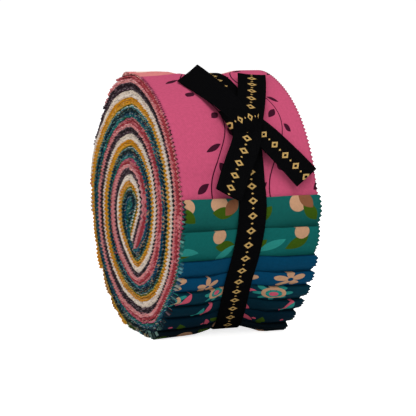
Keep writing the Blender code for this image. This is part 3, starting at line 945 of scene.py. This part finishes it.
def ribbon_material():
    """Black polyester grosgrain, woven with fine cross ribs: a deep black that is nearly matt.

    A row of small gold diamonds and dots is woven into its outer side.
    """
    material, tree, shader = new_material("woven_black_grosgrain", roughness=0.8, specular=0.0)
    place = cloth_place(tree)
    split = add(tree, "SeparateXYZ", [place])
    along, across, printed = split.outputs
    ribs = add(tree, "Math", [along, 2 * math.pi / RIB_PITCH], operation="MULTIPLY")
    ribs = add(tree, "Math", [ribs], operation="SINE")
    uneven = {"Vector": place, "Scale": RIBBON_SLUB_SCALE, "Detail": SLUB_DETAIL}
    slubs = add(tree, "TexNoise", uneven)
    colour = add(tree, "MixRGB", [slubs, *(linear(black) for black in RIBBON_BLACK)])
    side = add(tree, "Math", [across], operation="ABSOLUTE")
    for start, length, height, hollow in MARKS:
        step = add(tree, "Math", [along, 1 / MARK_PITCH, start], operation="MULTIPLY_ADD")
        step = add(tree, "Math", [step], operation="FRACT")
        step = add(tree, "Math", [step, MARK_PITCH, -0.5 * MARK_PITCH], operation="MULTIPLY_ADD")
        step = add(tree, "Math", [step], operation="ABSOLUTE")
        reach = add(tree, "Math", [step, 1 / length], operation="MULTIPLY")
        reach = add(tree, "Math", [side, 1 / height, reach], operation="MULTIPLY_ADD")
        inside = add(tree, "Math", [reach, 1.0], operation="LESS_THAN")
        rim = add(tree, "Math", [reach, hollow], operation="GREATER_THAN")
        mark = add(tree, "Math", [inside, rim], operation="MULTIPLY")
        mark = add(tree, "Math", [mark, printed], operation="MULTIPLY")
        colour = add(tree, "MixRGB", [mark, colour, linear(MARK_GOLD)])
    bump = add(tree, "Bump", {"Strength": RIB_BUMP, "Distance": BUMP_DEPTH, "Height": ribs})
    tree.links.new(colour.outputs[0], shader.inputs["Base Color"])
    tree.links.new(bump.outputs[0], shader.inputs["Normal"])
    return material


# Dyes and inks of the prints.
PEACH = "#B58B6C"
OLIVE = "#35500C"
AQUA = "#257F77"
CORAL = "#BC4D62"
GOLD = "#B08538"
PLUM = "#3A0F22"
BROWN = "#7A4E35"
PRINTS = {
    # ground, lint on the cut, then motifs: kind, colour, cell, size, shape, first row, seed. Sizes are
    # in mm, a size is a radius or half a length, and a shape is a share or a number of petals. The
    # stems have pitch, sway, wave, thickness, leaf and the leaf's shape instead.
    "teal_shapes": ("#10544F", "#8CCFC2", [
        ("dot", PEACH, 17, 4.0, 0, 4.0, 0.3),
        ("leaf", OLIVE, 19, 5.5, 0.5, 8.0, 0.1),
        ("leaf", BROWN, 31, 5.0, 0.6, 3.0, 0.7),
    ]),
    "teal_leaves": ("#0D5A56", "#8CCFC2", [
        ("leaf", OLIVE, 18, 5.6, 0.5, 9.0, 0.2),
        ("dot", PEACH, 21, 3.4, 0, 4.0, 0.3),
        ("leaf", AQUA, 23, 6.0, 0.35, 11.0, 0.9),
    ]),
    "plain_blue": ("#003B58", "#79BFC6", []),
    "blue_blossoms": ("#003C5C", "#C9C4A8", [
        ("blossom", PEACH, 19, 6.4, 5, 4.0, 0.35),
        ("dot", "#003C5C", 19, 1.2, 0, 4.0, 0.35),
    ]),
    "navy_rounds": ("#002C3A", "#7DC3C0", [
        ("blossom", AQUA, 25, 7.8, 8, 4.5, 0.9),
        ("ring", PEACH, 25, 3.9, 0.2, 4.5, 0.9),
        ("dot", CORAL, 25, 1.7, 0, 4.5, 0.9),
        ("leaf", CORAL, 31, 6.0, 0.3, 5.0, 0.4),
    ]),
    # The grounds of navy_leaves, navy_sprigs and midnight are their dyes' dark navy, painted darker
    # still as shade: these strips lie low on the roll's front and face down.
    "navy_leaves": ("#002330", "#C79AA4", [
        ("leaf", CORAL, 21, 6.0, 0.32, 4.0, 0.2),
        ("leaf", AQUA, 24, 5.0, 0.35, 5.0, 0.3),
    ]),
    "navy_sprigs": ("#001D2B", "#8FC4B4", [
        ("leaf", OLIVE, 19, 5.0, 0.35, 5.0, 0.8),
        ("leaf", CORAL, 23, 4.6, 0.3, 3.5, 0.1),
        ("dot", CORAL, 13, 0.9, 0, 4.0, 0.7),
    ]),
    "midnight": ("#06141B", "#93B8AC", [
        ("leaf", OLIVE, 17, 5.4, 0.5, 5.0, 0.2),
        ("dot", PEACH, 19, 3.0, 0, 4.0, 0.6),
    ]),
    "black_dots": ("#0A1A22", "#C9B68A", [("dot", GOLD, 11, 0.9, 0, 4.0, 0.1)]),
    "deep_teal": ("#1A5A68", "#8CCFC2", [("leaf", AQUA, 15, 3.5, 0.4, 4.0, 0.2)]),
    "white_specks": ("#DEDAD2", "#F2EEE6", [("dot", "#8FA398", 10, 1.0, 0, 3.0, 0.1)]),
    "green_leaves": ("#4A5A22", "#A9B77A", [("leaf", "#7F9044", 14, 4.0, 0.35, 4.0, 0.2)]),
    "gold_blossoms": ("#D19326", "#E9C47C", [("blossom", "#D2A452", 16, 4.4, 5, 4.0, 0.3)]),
    "gold_plain": ("#C98616", "#DDAE5A", []),
    "peach_leaves": ("#D69E62", "#EBCB9C", [("leaf", "#A86426", 15, 4.2, 0.35, 4.0, 0.4)]),
    "cream_sprigs": ("#E8DCD1", "#F2E9DE", [("leaf", "#BC7F6C", 15, 3.6, 0.3, 4.0, 0.5)]),
    "cream_plain": ("#E0CFBF", "#E8DAC8", []),
    "charcoal_sprigs": ("#2C242A", "#9C8C92", [("leaf", "#7C5662", 14, 3.6, 0.3, 4.0, 0.6)]),
    "plum_dots": ("#36242D", "#AC919A", [("dot", "#955A6B", 9, 0.9, 0, 3.0, 0.7)]),
    "red_blossoms": ("#A13A43", "#E39A9C", [("blossom", "#CC7178", 15, 4.2, 5, 4.0, 0.8)]),
    "rose_plain": ("#CE858A", "#EFCFC9", []),
    "salmon_leaves": ("#D07C7A", "#F0CDBF", [("leaf", "#E3C6B6", 17, 4.8, 0.4, 4.0, 0.9)]),
    "magenta_stems": ("#B84B6B", "#E39DB2", [("stem", PLUM, 27, 5.0, 57, 0.28, 4.6, 0.36)]),
}
# The prints of the forty strips, from the first fold to the wrapper.
STRIP_PRINTS = (
    "teal_shapes", "teal_leaves", "plain_blue", "blue_blossoms", "navy_rounds",
    "navy_leaves", "navy_sprigs", "midnight", "black_dots", "deep_teal",
    "white_specks", "green_leaves", "green_leaves", "gold_blossoms", "gold_plain",
    "gold_blossoms", "peach_leaves", "gold_plain", "gold_blossoms", "cream_plain",
    "cream_sprigs", "cream_plain", "cream_sprigs", "cream_plain", "cream_sprigs",
    "plum_dots", "charcoal_sprigs", "plum_dots", "charcoal_sprigs", "plum_dots",
    "charcoal_sprigs", "rose_plain", "salmon_leaves", "rose_plain", "red_blossoms",
    # The charcoal strip under the last salmon one is painted shade: it puts the dark line of shade at
    # the wrapper's pinked edge onto the end face.
    "salmon_leaves", "red_blossoms", "charcoal_sprigs", "salmon_leaves", "magenta_stems",
)


# ---- putting it together ---------------------------------------------------------------------------
SEED = 7                             # of the small differences between strips

rng = random.Random(SEED)
cottons = {name: printed_cotton(name, *look) for name, look in PRINTS.items()}
for k, print_name in enumerate(STRIP_PRINTS):
    strip = build_strip(k, rng, cottons[print_name])
    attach(strip, "root")
    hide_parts("fabric_roll")

black = ribbon_material()
knot = build_knot(black)
band, band_length = build_band(black)
ribbons = [knot, band]
for name, rows in FREE_ENDS.items():
    free_end, length = build_free_end(name, rows, black)
    ribbons.append(free_end)
for piece in ribbons:
    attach(piece, "root")
    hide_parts("ribbon")


# ---- floor, lights and camera ----------------------------------------------------------------------
FLOOR_GLOW = 0.8                     # lifts the floor to plain white where it is looked at
FLOOR_SIZE = 6.0                     # m
PAPER = "#FBFBFB"
GLOW = "#FFFFFF"
SURROUND_LIGHT = 0.42                # the studio's white walls as a source of light
SURROUND_SEEN = 1.05                 # and as they are looked at


def build_floor():
    """Plain pale studio paper: matt and even, nearly as white as the walls."""
    material, tree, shader = new_material("pale_paper", roughness=0.9, specular=0.2)
    shader.inputs["Base Color"].default_value = linear(PAPER)
    shader.inputs["Emission Color"].default_value = linear(GLOW)
    seen = add(tree, "LightPath")
    glow = add(tree, "Math", [seen.outputs["Is Camera Ray"], FLOOR_GLOW], operation="MULTIPLY")
    tree.links.new(glow.outputs[0], shader.inputs["Emission Strength"])
    bpy.ops.mesh.primitive_plane_add(size=FLOOR_SIZE, location=(0, 0, 0))
    floor = bpy.context.object
    floor.name = "floor"
    floor.data.materials.append(material)


LIGHTS = (
    # name, place, what it is aimed at, size in m, power in W
    ("soft_top", (0.1, -0.3, 1.1), (0, 0, 0.05), 0.8, 6.0),
    ("soft_front", (0.3, -1.1, 0.7), (0, 0, 0.05), 0.9, 3.0),
    ("soft_left", (-1.1, -0.6, 0.6), (0, 0, 0.06), 0.9, 4.6),
)


def area_light(name, place, target, size, power):
    """A round soft light."""
    light = bpy.data.lights.new(name, "AREA")
    light.shape = "DISK"
    light.size = size
    light.energy = power
    obj = bpy.data.objects.new(name, light)
    obj.location = place
    obj.rotation_euler = (Vector(target) - Vector(place)).to_track_quat("-Z", "Y").to_euler()
    bpy.context.collection.objects.link(obj)


AZIMUTH = math.radians(22.5)         # from straight in front towards the -X end
ELEVATION = math.radians(6.256)
DISTANCE = 0.7533                    # from the winding centre
SENSOR = 36.0                        # mm, with the focal length
FOCAL = 142.8
AIM = (-0.0065466, -0.0008729)       # offset of the winding centre in the view, over the distance


def build_camera():
    """The camera, a little to the left of the front and above the roll's middle."""
    right = Vector((math.cos(AZIMUTH), -math.sin(AZIMUTH), 0))
    level = math.cos(ELEVATION)
    back = Vector((-math.sin(AZIMUTH) * level, -math.cos(AZIMUTH) * level, math.sin(ELEVATION)))
    up = back.cross(right)
    centre = Vector((0, WINDING_Y, FLOOR_DROP))
    place = centre + back * DISTANCE - right * (DISTANCE * AIM[0]) - up * (DISTANCE * AIM[1])
    data = bpy.data.cameras.new("camera")
    data.lens = FOCAL
    data.sensor_width = SENSOR
    data.clip_start = 0.01
    camera = bpy.data.objects.new("camera", data)
    turned = Matrix((right, up, back)).transposed().to_4x4()
    camera.matrix_world = Matrix.Translation(place) @ turned
    bpy.context.collection.objects.link(camera)
    bpy.context.scene.camera = camera


def build_world():
    """Even white studio surround: plain white to the eye, a little dimmer as a source of light."""
    world = bpy.data.worlds.new("studio")
    world.use_nodes = True
    tree = world.node_tree
    seen = add(tree, "LightPath")
    shown = [seen.outputs["Is Camera Ray"], 0.0, 1.0, SURROUND_LIGHT, SURROUND_SEEN]
    strength = add(tree, "MapRange", shown)
    background = tree.nodes["Background"]
    background.inputs["Color"].default_value = (1, 1, 1, 1)
    tree.links.new(strength.outputs[0], background.inputs["Strength"])
    bpy.context.scene.world = world
    bpy.context.scene.view_settings.view_transform = "Standard"


build_camera()
build_floor()
build_world()
for light in LIGHTS:
    area_light(*light)
